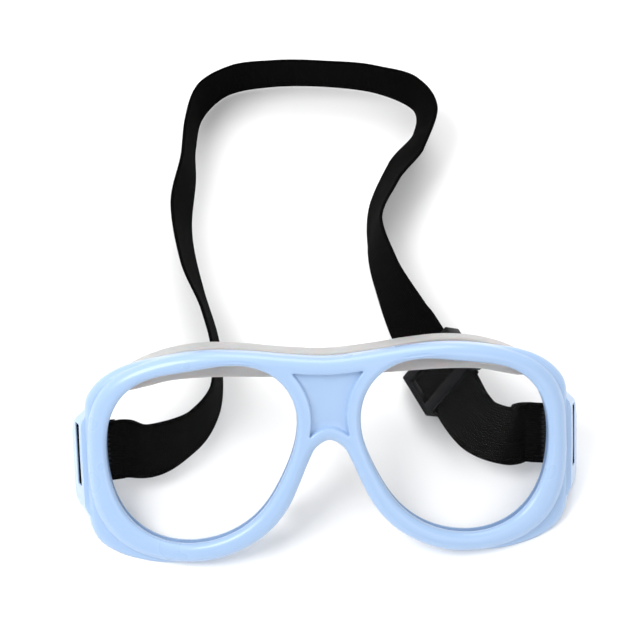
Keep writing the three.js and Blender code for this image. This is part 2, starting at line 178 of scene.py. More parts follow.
def inset(ring, distance):
    """The ring moved inwards by a distance, point for point."""
    ahead, behind = np.roll(ring, -1, axis=0) - ring, ring - np.roll(ring, 1, axis=0)
    ahead /= np.linalg.norm(ahead, axis=1)[:, None]
    behind /= np.linalg.norm(behind, axis=1)[:, None]
    run = ahead + behind
    run /= np.linalg.norm(run, axis=1)[:, None]
    inward = np.stack([-run[:, 1], run[:, 0]], axis=1) * (1 if area(ring) > 0 else -1)
    stretch = 1 / np.clip((run * ahead).sum(axis=1), 0.6, 1)
    return ring + inward * (distance * stretch)[:, None]


def inside(points, ring):
    """Which points lie inside a closed ring."""
    result = np.zeros(len(points), bool)
    x, y = points[:, 0], points[:, 1]
    for (ax, ay), (bx, by) in zip(ring, np.roll(ring, -1, axis=0)):
        crosses = (ay > y) != (by > y)
        with np.errstate(divide="ignore", invalid="ignore"):
            result ^= crosses & (x < (bx - ax) * (y - ay) / (by - ay) + ax)
    return result


class Rings:
    """A surface made of rings of points, joined in bands, and flat areas between rings."""

    def __init__(self):
        self.points, self.faces = [], []

    def ring(self, flat, height):
        first = len(self.points)
        self.points += [(x, y, height) for x, y in flat]
        return list(range(first, first + len(flat)))

    def band(self, a, b):
        n = len(a)
        self.faces += [(a[i], a[(i + 1) % n], b[(i + 1) % n], b[i]) for i in range(n)]

    def stack(self, outline, profile):
        """Bands down a profile of (inset, height) from one outline. Returns its rings."""
        rings = [self.ring(inset(outline, d), z) for d, z in profile]
        for a, b in zip(rings, rings[1:]):
            self.band(a, b)
        return rings

    def fill(self, outer, holes, height, spacing, clear):
        """A flat area inside one ring and outside others, with a grid of points inside it."""
        index = [i for ring in [outer, *holes] for i in ring]
        flat = [np.array([self.points[i][:2] for i in ring]) for ring in [outer, *holes]]
        edges, start = [], 0
        for ring in flat:
            edges += [(start + i, start + (i + 1) % len(ring)) for i in range(len(ring))]
            start += len(ring)
        low, high = flat[0].min(axis=0), flat[0].max(axis=0)
        grid = np.stack(np.meshgrid(np.arange(low[0], high[0], spacing),
                                    np.arange(low[1], high[1], spacing)), -1).reshape(-1, 2)
        keep = inside(grid, flat[0])
        for ring in flat[1:]:
            keep &= ~inside(grid, ring)
        grid = grid[keep]
        rim = np.concatenate(flat)
        far = np.array([np.hypot(*(rim - g).T).min() > clear for g in grid], bool)
        grid = grid[far]
        known = np.concatenate([rim, grid])
        first = len(self.points)
        self.points += [(x, y, height) for x, y in grid]
        index += list(range(first, first + len(grid)))
        made, _, triangles, origin, _, _ = geometry.delaunay_2d_cdt(
            [Vector(p) for p in known], edges, [], 0, 1e-5)
        middles = np.array([np.mean([made[i] for i in t], axis=0) for t in triangles])
        keep = inside(middles, flat[0])
        for ring in flat[1:]:
            keep &= ~inside(middles, ring)
        placed = []
        for spot, source in zip(made, origin):
            if source:
                placed.append(index[source[0]])
            else:
                placed.append(len(self.points))
                self.points.append((spot.x, spot.y, height))
        self.faces += [tuple(placed[i] for i in t) for wanted, t in zip(keep, triangles) if wanted]


def rounding(width, drop, steps, top=0.0):
    """A rounded edge from a side wall up to a face: (inset, height) pairs."""
    out = []
    for k in range(steps + 1):
        angle = math.pi / 2 * k / steps
        out.append((width * (1 - math.cos(angle)), top - drop * (1 - math.sin(angle))))
    return out


# ---------------------------------------------------------------- materials
def new_material(name, color, roughness, **sockets):
    material = bpy.data.materials.new(name)
    material.use_nodes = True
    shader = material.node_tree.nodes["Principled BSDF"]
    shader.inputs["Base Color"].default_value = (*color, 1)
    shader.inputs["Roughness"].default_value = roughness
    for socket, value in sockets.items():
        shader.inputs[socket.replace("_", " ")].default_value = value
    return material, material.node_tree, shader


def node(tree, kind, **values):
    made = tree.nodes.new(kind)
    for key, value in values.items():
        if key in made.inputs:
            made.inputs[key].default_value = value
        else:
            setattr(made, key, value)
    return made


def noise(tree, scale, detail):
    place = node(tree, "ShaderNodeTexCoord")
    texture = node(tree, "ShaderNodeTexNoise")
    texture.inputs["Scale"].default_value = scale
    texture.inputs["Detail"].default_value = detail
    tree.links.new(place.outputs["Object"], texture.inputs["Vector"])
    return texture.outputs["Fac"]


def span(tree, value, low, high):
    """Maps 0..1 to low..high."""
    mapped = node(tree, "ShaderNodeMapRange")
    mapped.inputs["To Min"].default_value = low
    mapped.inputs["To Max"].default_value = high
    tree.links.new(value, mapped.inputs["Value"])
    return mapped.outputs["Result"]


def tint(tree, shader, value, dark, light):
    mix = node(tree, "ShaderNodeMix", data_type="RGBA")
    mix.inputs["A"].default_value = (*dark, 1)
    mix.inputs["B"].default_value = (*light, 1)
    tree.links.new(value, mix.inputs["Factor"])
    tree.links.new(mix.outputs["Result"], shader.inputs["Base Color"])


def bump(tree, shader, value, strength, distance):
    made = node(tree, "ShaderNodeBump")
    made.inputs["Strength"].default_value = strength
    made.inputs["Distance"].default_value = distance
    tree.links.new(value, made.inputs["Height"])
    tree.links.new(made.outputs["Normal"], shader.inputs["Normal"])


def plastic_material():
    """Glossy light blue moulded plastic with faint flow marks."""
    material, tree, shader = new_material(
        "light_blue_plastic", (0.32, 0.465, 0.70), 0.25,
        Coat_Weight=0.25, Coat_Roughness=0.12, IOR=1.49, Sheen_Weight=0.12)
    tint(tree, shader, noise(tree, 45, 3), (0.318, 0.46, 0.682), (0.33, 0.472, 0.698))
    tree.links.new(span(tree, noise(tree, 60, 2), 0.26, 0.3), shader.inputs["Roughness"])
    return material


def lens_material():
    """Hard-coated clear polycarbonate: almost nothing head on, a mirror at a slant."""
    material, tree, shader = new_material(
        "clear_lens", (0.97, 0.98, 1.0), 0.03, Metallic=1.0)
    tree.links.new(span(tree, noise(tree, 60, 3), 0.01, 0.05), shader.inputs["Roughness"])
    clear = node(tree, "ShaderNodeBsdfTransparent")
    slant = node(tree, "ShaderNodeLayerWeight", Blend=0.5)
    gloss = node(tree, "ShaderNodeMapRange", interpolation_type="SMOOTHSTEP")
    gloss.inputs["From Min"].default_value = 0.25
    gloss.inputs["To Min"].default_value = 0.002
    gloss.inputs["To Max"].default_value = 0.35
    tree.links.new(slant.outputs["Facing"], gloss.inputs["Value"])
    mix = node(tree, "ShaderNodeMixShader")
    tree.links.new(gloss.outputs["Result"], mix.inputs["Fac"])
    tree.links.new(clear.outputs["BSDF"], mix.inputs[1])
    tree.links.new(shader.outputs["BSDF"], mix.inputs[2])
    tree.links.new(mix.outputs["Shader"], tree.nodes["Material Output"].inputs["Surface"])
    return material


def silicone_material():
    material, tree, shader = new_material(
        "clear_silicone", (0.6, 0.6, 0.6), 0.38, Transmission_Weight=0.5, IOR=1.41,
        Subsurface_Weight=0.4, Subsurface_Scale=0.006, Sheen_Weight=0.1)
    tint(tree, shader, noise(tree, 80, 4), (0.56, 0.56, 0.555), (0.64, 0.635, 0.63))
    tree.links.new(span(tree, noise(tree, 300, 4), 0.3, 0.48), shader.inputs["Roughness"])
    bump(tree, shader, noise(tree, 1200, 3), 0.15, 0.00005)
    return material


def webbing_material():
    """Black knitted elastic: fine ribs along the run, crossed by the rows of the knit."""
    material, tree, shader = new_material(
        "black_elastic", (0.003, 0.003, 0.003), 0.9)
    shader.inputs["Specular IOR Level"].default_value = 0.03
    place = node(tree, "ShaderNodeUVMap", uv_map="along_across")
    parts = node(tree, "ShaderNodeSeparateXYZ")
    tree.links.new(place.outputs["UV"], parts.inputs["Vector"])
    waves = []
    for axis, pitch in (("X", 0.55), ("Y", 0.75)):
        turn = node(tree, "ShaderNodeMath", operation="MULTIPLY")
        turn.inputs[1].default_value = 2 * math.pi / pitch
        tree.links.new(parts.outputs[axis], turn.inputs[0])
        wave = node(tree, "ShaderNodeMath", operation="SINE")
        tree.links.new(turn.outputs[0], wave.inputs[0])
        waves.append(wave.outputs[0])
    knit = node(tree, "ShaderNodeMath", operation="MULTIPLY_ADD")
    tree.links.new(waves[0], knit.inputs[0])
    knit.inputs[1].default_value = 0.5
    tree.links.new(waves[1], knit.inputs[2])
    bump(tree, shader, knit.outputs[0], 0.5, 0.00012)
    tint(tree, shader, noise(tree, 900, 3), (0.0006, 0.0005, 0.0005), (0.003, 0.0027, 0.0027))
    return material


def hardware_material():
    material, tree, shader = new_material(
        "black_plastic", (0.006, 0.006, 0.0065), 0.4)
    shader.inputs["Specular IOR Level"].default_value = 0.07
    tint(tree, shader, noise(tree, 200, 3), (0.004, 0.004, 0.0045), (0.009, 0.009, 0.01))
    tree.links.new(span(tree, noise(tree, 500, 4), 0.28, 0.45), shader.inputs["Roughness"])
    bump(tree, shader, noise(tree, 1500, 3), 0.2, 0.00005)
    return material


def steel_material():
    material, tree, shader = new_material("steel_wire", (0.55, 0.56, 0.58), 0.3, Metallic=1.0)
    tree.links.new(span(tree, noise(tree, 900, 4), 0.22, 0.42), shader.inputs["Roughness"])
    bump(tree, shader, noise(tree, 2500, 2), 0.15, 0.00003)
    return material


def thread_material():
    material, tree, shader = new_material("black_thread", (0.015, 0.015, 0.016), 0.6)
    tint(tree, shader, noise(tree, 2500, 2), (0.008, 0.008, 0.009), (0.03, 0.03, 0.032))
    bump(tree, shader, noise(tree, 4000, 2), 0.4, 0.0001)
    return material


PLASTIC = plastic_material()
LENS = lens_material()
SILICONE = silicone_material()
WEBBING = webbing_material()
HARDWARE = hardware_material()
STEEL = steel_material()
THREAD = thread_material()

# ---------------------------------------------------------------- camera
# It looks down at the front from a little to the viewer's left, as far off as one would hold
# a camera over a table.
CAMERA_AZIMUTH = math.radians(5)
CAMERA_ELEVATION = math.radians(60)
CAMERA_ROLL = math.radians(-2.19)
CAMERA_DISTANCE = 600.0
CAMERA_AIM_ACROSS, CAMERA_AIM_UP = 2.9, -37.61
CAMERA_LENS = 118.1


def make_camera():
    back = Vector((-math.sin(CAMERA_AZIMUTH) * math.cos(CAMERA_ELEVATION),
                   -math.cos(CAMERA_AZIMUTH) * math.cos(CAMERA_ELEVATION),
                   math.sin(CAMERA_ELEVATION)))
    level = Vector((math.cos(CAMERA_AZIMUTH), -math.sin(CAMERA_AZIMUTH), 0))
    upright = back.cross(level)
    right = level * math.cos(CAMERA_ROLL) - upright * math.sin(CAMERA_ROLL)
    up = level * math.sin(CAMERA_ROLL) + upright * math.cos(CAMERA_ROLL)
    place = FRONT_AT + back * CAMERA_DISTANCE - right * CAMERA_AIM_ACROSS - up * CAMERA_AIM_UP
    data = bpy.data.cameras.new("camera")
    data.lens = CAMERA_LENS
    data.sensor_width = 36
    data.clip_start, data.clip_end = 0.01, 20
    camera = linked("camera", data)
    turn = Matrix((right, up, back)).transposed()
    camera.matrix_world = Matrix.Translation(place * MM) @ turn.to_4x4()
    bpy.context.scene.camera = camera


make_camera()

# ---------------------------------------------------------------- the strap
# The webbing's middle on the table, then how far its upper edge leans to the left of the run.
# y is measured from the front's own origin.
STRAP_ROUTE = [
    (-51.3, 10.5, 13.6, 31), (-40.3, 16.8, 11.6, 12), (-33.5, 27.1, 9.9, 5),
    (-32.2, 40.7, 9.6, 8), (-34, 54.7, 9.5, 13), (-39, 72.3, 9.4, 19), (-41.8, 94, 9.4, 18),
    (-39.2, 111.8, 9.6, 11), (-38.2, 125.7, 9.6, 7), (-34.6, 138.4, 9.6, 3),
    (-24.9, 146.6, 9.6, -6), (-10.3, 149, 9.6, -9), (6.8, 148.3, 9.6, -10),
    (24.1, 145.2, 9.6, -8), (37, 138.2, 9.6, 0), (39.2, 127, 9.4, 21), (31.9, 114.2, 8.4, 37),
    (23.9, 100.3, 9.2, 26), (20, 85.5, 9.6, 10), (22.4, 69.8, 9.5, 18), (27.9, 53, 9.6, 34),
    (30.14, 47.33, 10.36, 40), (36.04, 33.13, 12.25, 40), (42.7, 17.1, 14.4, 40),
    (46.2, 12.4, 15, 38), (53, 9.7, 14.8, 38),
]
SLIDER_AT = np.array((36.04, 33.13 + FRONT_AT.y, 12.25))
STEPS_PER_SPAN = 12


def unit(v):
    v = np.asarray(v, float)
    return v / np.linalg.norm(v)


def anchor(side):
    """The pin's centre and its wing's outward direction, in the front's frame."""
    out = np.array((side * math.cos(WING_FLARE), 0, math.sin(WING_FLARE)))
    at = np.array((side * (WING_ROOT.x + SLOT_AT * math.sin(WING_FLARE)), SLOT_Y,
                   WING_ROOT.z - SLOT_AT * math.cos(WING_FLARE)))
    return at - out * PIN_DEPTH, out


def strap_steps():
    """Steps along the route: middle, run, across, face and the length so far."""
    rows = []
    for side in (-1, 1):
        at, out = anchor(side)
        rows.append([(*standing([at - out * reach])[0], LEAN_AT_SLOT)
                     for reach in (LOOP_REACH, LOOP_REACH + 3)])
    route = [(x, y + FRONT_AT.y, z, lean) for x, y, z, lean in STRAP_ROUTE]
    stations = np.array([*rows[0], *route, *reversed(rows[1])], float)
    places = stations[:, :3]
    ends = [2 * places[0] - places[1], *places, 2 * places[-1] - places[-2]]
    spans = len(places) - 1
    middles, leans = [], []
    for i in range(spans * STEPS_PER_SPAN + 1):
        k = min(i // STEPS_PER_SPAN, spans - 1)
        t = i / STEPS_PER_SPAN - k
        middles.append(catmull(ends[k:k + 4], t))
        mix = (t + smoothstep(t)) / 2
        leans.append(math.radians(stations[k, 3] * (1 - mix) + stations[k + 1, 3] * mix))
    middles = np.array(middles)
    runs = np.gradient(middles, axis=0)
    steps, long = [], 0.0
    for i, (at, run, lean) in enumerate(zip(middles, runs, leans)):
        run = unit(run)
        left = unit(np.cross((0, 0, 1), run))
        upright = np.cross(run, left)
        across = upright * math.cos(lean) + left * math.sin(lean)
        if i:
            long += np.linalg.norm(at - middles[i - 1])
        steps.append({"at": at, "run": run, "across": across,
                      "face": unit(np.cross(run, across)), "long": long})
    return steps


# The webbing's section: round selvedges, and a face that dips a little between them.
SECTION_ACROSS = [-9.0, -8.93, -8.7, -8.2, -7.0, -4.0, 0.0, 4.0, 7.0, 8.2, 8.7, 8.93, 9.0]
SECTION_HALF = [0.14, 0.33, 0.47, 0.5, 0.44, 0.42, 0.42, 0.42, 0.44, 0.5, 0.47, 0.33, 0.14]


def section():
    top = list(zip(SECTION_ACROSS, SECTION_HALF))
    return top + [(w, -t) for w, t in reversed(top)]


def webbing(name, lines, body, square_ends=()):
    """Webbing through sections given as (middle, run, across, face, length so far). Those
    numbered in square_ends are cut square to the swing axis."""
    outline = section()
    n = len(outline)
    points, faces, laid = [], [], []
    for k, (at, run, across, face, long) in enumerate(lines):
        for w, t in outline:
            p = at + across * w + face * t
            if k in square_ends:
                p = p + run * (at[0] - p[0]) / run[0]
            points.append(p)
            laid.append((long, w + (0 if t > 0 else 2 * STRAP_WIDTH)))
    for k in range(len(lines) - 1):
        for i in range(n):
            j = (i + 1) % n
            faces.append((k * n + i, k * n + j, (k + 1) * n + j, (k + 1) * n + i))
    faces.append(tuple(range(n)))
    faces.append(tuple(range((len(lines) - 1) * n, len(lines) * n)))
    piece = mesh_piece(name, points, faces, body, 50)
    layer = piece.data.uv_layers.new(name="along_across")
    for loop in piece.data.loops:
        layer.data[loop.index].uv = laid[loop.vertex_index]
    piece.data.materials.append(WEBBING)
    return piece


def line_of(step, offset):
    return (step["at"] + step["face"] * offset, step["run"], step["across"], step["face"],
            step["long"])


def fold_lines(centre, inwards, across, pin_radius, reach, long):
    """A fold round a pin: one leg's end, round the pin, and back to the other leg's end."""
    radius = pin_radius + STRAP_THICKNESS / 2 + FOLD_CLEARANCE
    up = np.cross(inwards, across)
    start = math.asin(PLY / radius)
    lines, path = [], []
    for k in range(5):
        path.append((reach + (radius * math.cos(start) - reach) * k / 5, PLY, (-1, 0)))
    for k in range(25):
        angle = start + (2 * math.pi - 2 * start) * k / 24
        path.append((radius * math.cos(angle), radius * math.sin(angle),
                     (-math.sin(angle), math.cos(angle))))
    for k in range(1, 6):
        path.append((radius * math.cos(start) + (reach - radius * math.cos(start)) * k / 5,
                     -PLY, (1, 0)))
    last = None
    for a, b, (ra, rb) in path:
        at = centre + inwards * a + up * b
        run = unit(inwards * ra + up * rb)
        if last is not None:
            long += np.linalg.norm(at - last)
        last = at
        lines.append((at, run, across, unit(np.cross(run, across)), long))
    return lines


STEPS = strap_steps()
SLIDER_INDEX = min(range(len(STEPS)), key=lambda i: np.linalg.norm(STEPS[i]["at"] - SLIDER_AT))
SLIDER_STEP = STEPS[SLIDER_INDEX]
LENGTH = STEPS[-1]["long"]
RETURN_FROM = 16.6                     # from the slider's middle to where the return run starts
# Where the knit's pattern carries on in the fold inside the slider and in the ply beyond it.
END_FOLD_LAID, LINK_LAID = LENGTH + 60, LENGTH + 70


def make_strap():
    up = TURN @ np.array((0, 1, 0))
    folds = []
    for name, side in (("left", -1), ("right", 1)):
        at, out = anchor(side)
        reach = LOOP_REACH - FOLD_END_GAP
        lines = fold_lines(standing([at])[0], TURN @ -out, up * side, PIN_RADIUS, reach,
                           LENGTH if side > 0 else -2 * reach)
        fold = webbing(f"{name}_strap_fold", lines, "front", (0, len(lines) - 1))
        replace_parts(fold, f"{name}_strap_loop")
        folds.append(fold)
    long_run = webbing("head_strap_long_run",
                       [line_of(s, PLY) for s in STEPS[:SLIDER_INDEX + 1]], None, (0,))
    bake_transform(long_run)
    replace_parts(long_run, "head_strap")
    last = len(STEPS) - 1 - SLIDER_INDEX
    short_run = webbing("head_strap_short_run",
                        [line_of(s, PLY) for s in STEPS[SLIDER_INDEX:]], None, (last,))
    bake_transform(short_run)
    clear = next(i for i, s in enumerate(STEPS) if i > SLIDER_INDEX
                 and np.linalg.norm(s["at"] - SLIDER_STEP["at"]) > RETURN_FROM)
    back_lines = [line_of(s, -PLY) for s in STEPS[clear:]]
    back_run = webbing("strap_return_run", back_lines, None, (len(back_lines) - 1,))
    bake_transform(back_run)
    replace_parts(back_run, "strap_return")
    return folds, long_run, short_run, back_run, clear


folds, long_run, short_run, back_run, CLEAR = make_strap()

# ---------------------------------------------------------------- the slider
MID_BAR_RADIUS = 0.8
TOP_BARS = PLY + STRAP_THICKNESS / 2 + GAP
MID_BAR = PLY - STRAP_THICKNESS / 2 - GAP - STRAP_THICKNESS - LOOP_CLEARANCE - MID_BAR_RADIUS
SLIDER_LENGTH, SLIDER_RAIL, SLIDER_BAR, SLIDER_THICKNESS = 16.0, 1.9, 3.4, 1.6
SLIDER_FREE_PLAY = 0.4                 # more room across the webbing than a gap on each side
END_FOLD_REACH = 7.8


def rounded_box(name, size, centre, round_by, place):
    """A box with rounded edges, in a frame given by a 4x4 matrix in millimetres."""
    build = bmesh.new()
    bmesh.ops.create_cube(build, size=1)
    for v in build.verts:
        v.co = Vector((v.co.x * size[0], v.co.y * size[1], v.co.z * size[2])) + Vector(centre)
    bmesh.ops.bevel(build, geom=build.edges[:], offset=round_by, segments=3, profile=0.5,
                    affect="EDGES")
    build.transform(Matrix.Scale(MM, 4) @ place)
    return finished(name, build)


def joined(name, pieces, material, angle):
    """Unites solid pieces into one solid."""
    whole = pieces[0]
    whole.name = name
    for other in pieces[1:]:
        modifier = whole.modifiers.new("join", "BOOLEAN")
        modifier.operation, modifier.solver, modifier.object = "UNION", "EXACT", other
        made = bpy.data.meshes.new_from_object(
            whole.evaluated_get(bpy.context.evaluated_depsgraph_get()))
        whole.modifiers.clear()
        whole.data = made
        bpy.data.objects.remove(other)
    whole.data.name = name
    shade(whole, angle)
    whole.data.materials.clear()
    whole.data.materials.append(material)
    return whole


def make_slider():
    run, across, face = (SLIDER_STEP[k] for k in ("run", "across", "face"))
    turn = Matrix([run, across, face]).transposed()
    place = Matrix.Translation(Vector(SLIDER_STEP["at"])) @ turn.to_4x4()
    inside_width = STRAP_WIDTH + 2 * GAP + SLIDER_FREE_PLAY
    low, high = MID_BAR - MID_BAR_RADIUS, TOP_BARS + SLIDER_THICKNESS
    parts = []
    for side in (-1, 1):
        parts.append(rounded_box(
            "rail", (SLIDER_LENGTH, SLIDER_RAIL, high - low),
            (0, side * (inside_width + SLIDER_RAIL) / 2, (high + low) / 2), 0.55, place))
    for side in (-1, 1):
        parts.append(rounded_box(
            "bar", (SLIDER_BAR, inside_width + SLIDER_RAIL, SLIDER_THICKNESS),
            (side * (SLIDER_LENGTH - SLIDER_BAR) / 2, 0, high - SLIDER_THICKNESS / 2), 0.5,
            place))
    build = bmesh.new()
    bmesh.ops.create_cone(build, cap_ends=True, segments=24, radius1=MID_BAR_RADIUS,
                          radius2=MID_BAR_RADIUS, depth=inside_width + SLIDER_RAIL)
    build.transform(Matrix.Scale(MM, 4) @ place @ Matrix.Translation((0, 0, MID_BAR))
                    @ Matrix.Rotation(math.pi / 2, 4, "X"))
    parts.append(finished("mid_bar", build))
    slider = joined("tri_glide_slider", parts, HARDWARE, 35)
    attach(slider, "slider")
    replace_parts(slider, "strap_slider")
    centre = SLIDER_STEP["at"] + face * MID_BAR
    lines = fold_lines(centre, run, -across, MID_BAR_RADIUS, END_FOLD_REACH, END_FOLD_LAID)
    fold = webbing("strap_end_fold", lines, "slider")
    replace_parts(fold, "strap_end_loop")
    return slider, fold


slider, end_fold = make_slider()


def make_return_link():
    """The adjustable end of the strap, between its fold in the slider and the return run."""
    run, across, face = (SLIDER_STEP[k] for k in ("run", "across", "face"))
    start = SLIDER_STEP["at"] + face * (MID_BAR + PLY) + run * END_FOLD_REACH
    end = STEPS[CLEAR]
    goal = end["at"] - end["face"] * PLY
    drift = np.dot(goal - start, face)
    lines, long, last = [], LINK_LAID, start
    count = 12
    for k in range(count + 1):
        t = k / count
        at = start + (goal - start) * t + face * drift * (smoothstep(t) - t)
        way = unit(end["run"] * t + run * (1 - t))
        over = unit(end["across"] * t + across * (1 - t))
        long += np.linalg.norm(at - last)
        last = at
        lines.append((at, way, over, unit(np.cross(way, over)), long))
    link = webbing("strap_return_link", lines, None)
    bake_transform(link)
    return link


return_link = make_return_link()

# ---------------------------------------------------------------- the moulded front
OUTLINE = both_halves([
    (0, 27), (10.5, 27.8), (22.5, 29.1), (34, 29.5), (45, 28.2), (54, 25.6), (61, 22),
    (66.2, 16.6), (69, 9.5), (69.8, 0), (69.6, -10), (67.8, -18.5), (63.8, -25.2),
    (57.5, -29.9), (50, -32.4), (42, -33.2), (33.5, -32.3), (25.5, -29.3), (18, -24.2),
    (12.5, -17.5), (8.8, -10), (6.3, -4), (3.8, 0.6), (0, 2.7)])
OUTER_ROUND, OUTER_DROP = 2.8, 2.9     # how far a rounded edge goes in, and how deep it is
INNER_ROUND, INNER_DROP = 2.0, 1.9
BACK_ROUND, HOLE_BACK_ROUND = 1.1, 0.7
RECESS_DEPTH = 1.8
RECESS_CORNER = 0.06                   # share of a side that a round corner takes


def lens_outline(side, grow, count=200):
    """A circle drawn out up towards the nose and down towards the temple."""
    a = np.arange(count) * 2 * math.pi / count
    radius = (LENS_MEAN_RADIUS + 0.5 * np.cos(2 * a) - 2.1 * np.sin(2 * a)
              + 1.4 * np.sin(3 * a) - 0.8 * np.cos(4 * a) + grow)
    return np.stack([side * (LENS_CENTRE + radius * np.cos(a)), radius * np.sin(a)], axis=1)


def bezier(points, t):
    points = [np.array(p, float) for p in points]
    while len(points) > 1:
        points = [a * (1 - t) + b * t for a, b in zip(points, points[1:])]
    return points[0]


def recess_outline():
    """The bridge's sunk panel: wide at the top, waisted, arched below, with round corners."""
    corners = {"lt": (-10.4, 23.3), "rt": (10.4, 23.3), "rb": (5.9, 3.8), "lb": (-5.9, 3.8)}
    sides = [
        [corners["lt"], (0, 21.8), corners["rt"]],
        [corners["rt"], (7.2, 19.6), (3.4, 13), corners["rb"]],
        [corners["rb"], (0, 9.6), corners["lb"]],
        [corners["lb"], (-3.4, 13), (-7.2, 19.6), corners["lt"]],
    ]
    ring = []
    for k, side in enumerate(sides):
        cut = RECESS_CORNER
        ring += [bezier(side, cut + (1 - 2 * cut) * i / 24) for i in range(25)]
        following = sides[(k + 1) % 4]
        turn = [bezier(side, 1 - cut), side[-1], bezier(following, cut)]
        ring += [bezier(turn, i / 6) for i in range(1, 6)]
    return np.array(ring)


def front_body():
    """Both rims and the bridge, flat: round edges, lens grooves and the sunk panel."""
    surface = Rings()
    outline = closed_spline(OUTLINE, 420)
    front_edge = list(reversed(rounding(OUTER_ROUND, OUTER_DROP, 10)))
    back_edge = [(d, -FRONT_DEPTH - z) for d, z in rounding(BACK_ROUND, BACK_ROUND, 4)]
    rings = surface.stack(outline, front_edge + back_edge)
    front_ring, back_ring = rings[0], rings[-1]
    hole_fronts, hole_backs = [], []
    groove_front = GAP - LENS_SET_BACK
    groove_back = groove_front - LENS_THICKNESS - 2 * GAP
    for side in (-1, 1):
        profile = ([(-d, z) for d, z in reversed(rounding(INNER_ROUND, INNER_DROP, 8))]
                   + [(0, groove_front), (-LENS_HOLD - GAP, groove_front),
                      (-LENS_HOLD - GAP, groove_back), (0, groove_back)]
                   + [(-d, -FRONT_DEPTH - z) for d, z in
                      rounding(HOLE_BACK_ROUND, HOLE_BACK_ROUND, 3)])
        made = [surface.ring(lens_outline(side, -d), z) for d, z in profile]
        for a, b in zip(made, made[1:]):
            surface.band(a, b)
        hole_fronts.append(made[0])
        hole_backs.append(made[-1])
    panel = recess_outline()
    walls = [(-0.45, 0), (-0.2, -0.08), (0, -0.35), (0.12, -1.35), (0.3, -1.68), (0.7, -1.8)]
    panel_rings = surface.stack(panel, walls)
    surface.fill(front_ring, [*hole_fronts, panel_rings[0]], 0, 1.6, 0.7)
    surface.fill(panel_rings[-1], [], -RECESS_DEPTH, 1.5, 0.8)
    surface.fill(back_ring, hole_backs, -FRONT_DEPTH, 2.0, 1.0)
    return np.array(surface.points), surface.faces


# The shell's outer edge, from above the lens round by the temple to below it.
SHELL = [(40, 28.2), (48, 27.5), (55.4, 25.9), (61.6, 23.3), (66.5, 19.6), (69.6, 15),
         (70.3, 9), (70.4, 0), (70.4, -9), (70.4, -17), (69.9, -23), (67.8, -27.5),
         (63.2, -31.0), (56.4, -33.4), (49, -34.1), (41, -33.2), (34, -31.2)]
SHELL_COUNT, SHELL_TAPER = 220, 40     # points along it, and how many its ends taper over
SHELL_EDGE = [(3.0, -2.4), (1.9, -2.5), (1.1, -2.8), (0.5, -3.4), (0.1, -4.2), (0.0, -4.9),
              (0.15, -5.6), (0.5, -6.1), (1.0, -6.35), (1.7, -6.45)]


def open_spline(points, count):
    """A smooth curve from the first point to the last, as `count` points."""
    points = np.asarray(points, float)
    ends = [2 * points[0] - points[1], *points, 2 * points[-1] - points[-2]]
    out = []
    for i in range(count):
        t = i * (len(points) - 1) / (count - 1)
        k = min(int(t), len(points) - 2)
        out.append(catmull(ends[k:k + 4], t - k))
    return np.array(out)


def shell_body(side):
    """The shell that flares out behind the rim towards the temple, as a C beside the lens."""
    outer = open_spline(SHELL, SHELL_COUNT)
    beside = lens_outline(1, 2.4, 360)
    inner = beside[np.arange(262, 445, 2) % 360]       # by degrees, from below to above
    surface = Rings()
    rings = []
    place = np.arange(SHELL_COUNT)
    share = np.clip(np.minimum(place, place[::-1]) / SHELL_TAPER, 0, 1)[:, None]
    for distance, height in SHELL_EDGE:
        moved = outer + (inset(outer, distance) - outer) * share
        rings.append(surface.ring(np.concatenate([moved, inner]), height))
    for a, b in zip(rings, rings[1:]):
        surface.band(a, b)
    surface.faces += [tuple(rings[0]), tuple(rings[-1])]
    points = np.array(surface.points)
    points[:, 0] *= side
    return points, surface.faces


def slit(width, height, corner, count=12):
    """A slot's outline in the wing's plane, u back along the wing and y up, as a ring."""
    out = []
    for quarter, (su, sy) in enumerate(((1, 1), (-1, 1), (-1, -1), (1, -1))):
        for i in range(count + 1):
            a = math.pi / 2 * (quarter + i / count)
            out.append((SLOT_AT + su * (width / 2 - corner) + corner * math.cos(a),
                        SLOT_Y + sy * (height / 2 - corner) + corner * math.sin(a)))
    return np.array(out)


WING_OUTLINE = [(0.5, 8), (0.9, 10.8), (2.2, 12.3), (5, 11.5), (9.1, 8.8), (12.4, 6.2),
                (WING_REACH, 2.5), (WING_REACH, -4), (WING_REACH, -11.5), (13.4, -16.6),
                (11.2, -19), (7.4, -21), (4, -22.4), (1.9, -22.8), (0.8, -21.4),
                (0.5, -17), (0.5, -8), (0.5, 2)]
WING_ROUND, WING_BACK_ROUND = 1.1, 0.9
CHANNEL_DEPTH = 2.4
WING_MIDDLE, WING_END_SINK = -5.2, 1.9
LIP_RISE = 0.45


def wing_sink(u, y):
    """How far the wing's outer face lies below its plane: in the channel and at its ends."""
    fade = min(1, max(0, (17 - abs(y + 4)) / 5))
    channel = CHANNEL_DEPTH * (1 - smoothstep((u - 0.9) / 1.5)) * fade
    end = WING_END_SINK * smoothstep((abs(y - WING_MIDDLE) - 11.5) / 6)
    return max(channel, end)


def lip(u, y):
    """The low swelling round the slit."""
    return (LIP_RISE * max(0, 1 - ((u - SLOT_AT) / 4.2) ** 2)
            * max(0, 1 - ((y - SLOT_Y) / 13) ** 2))


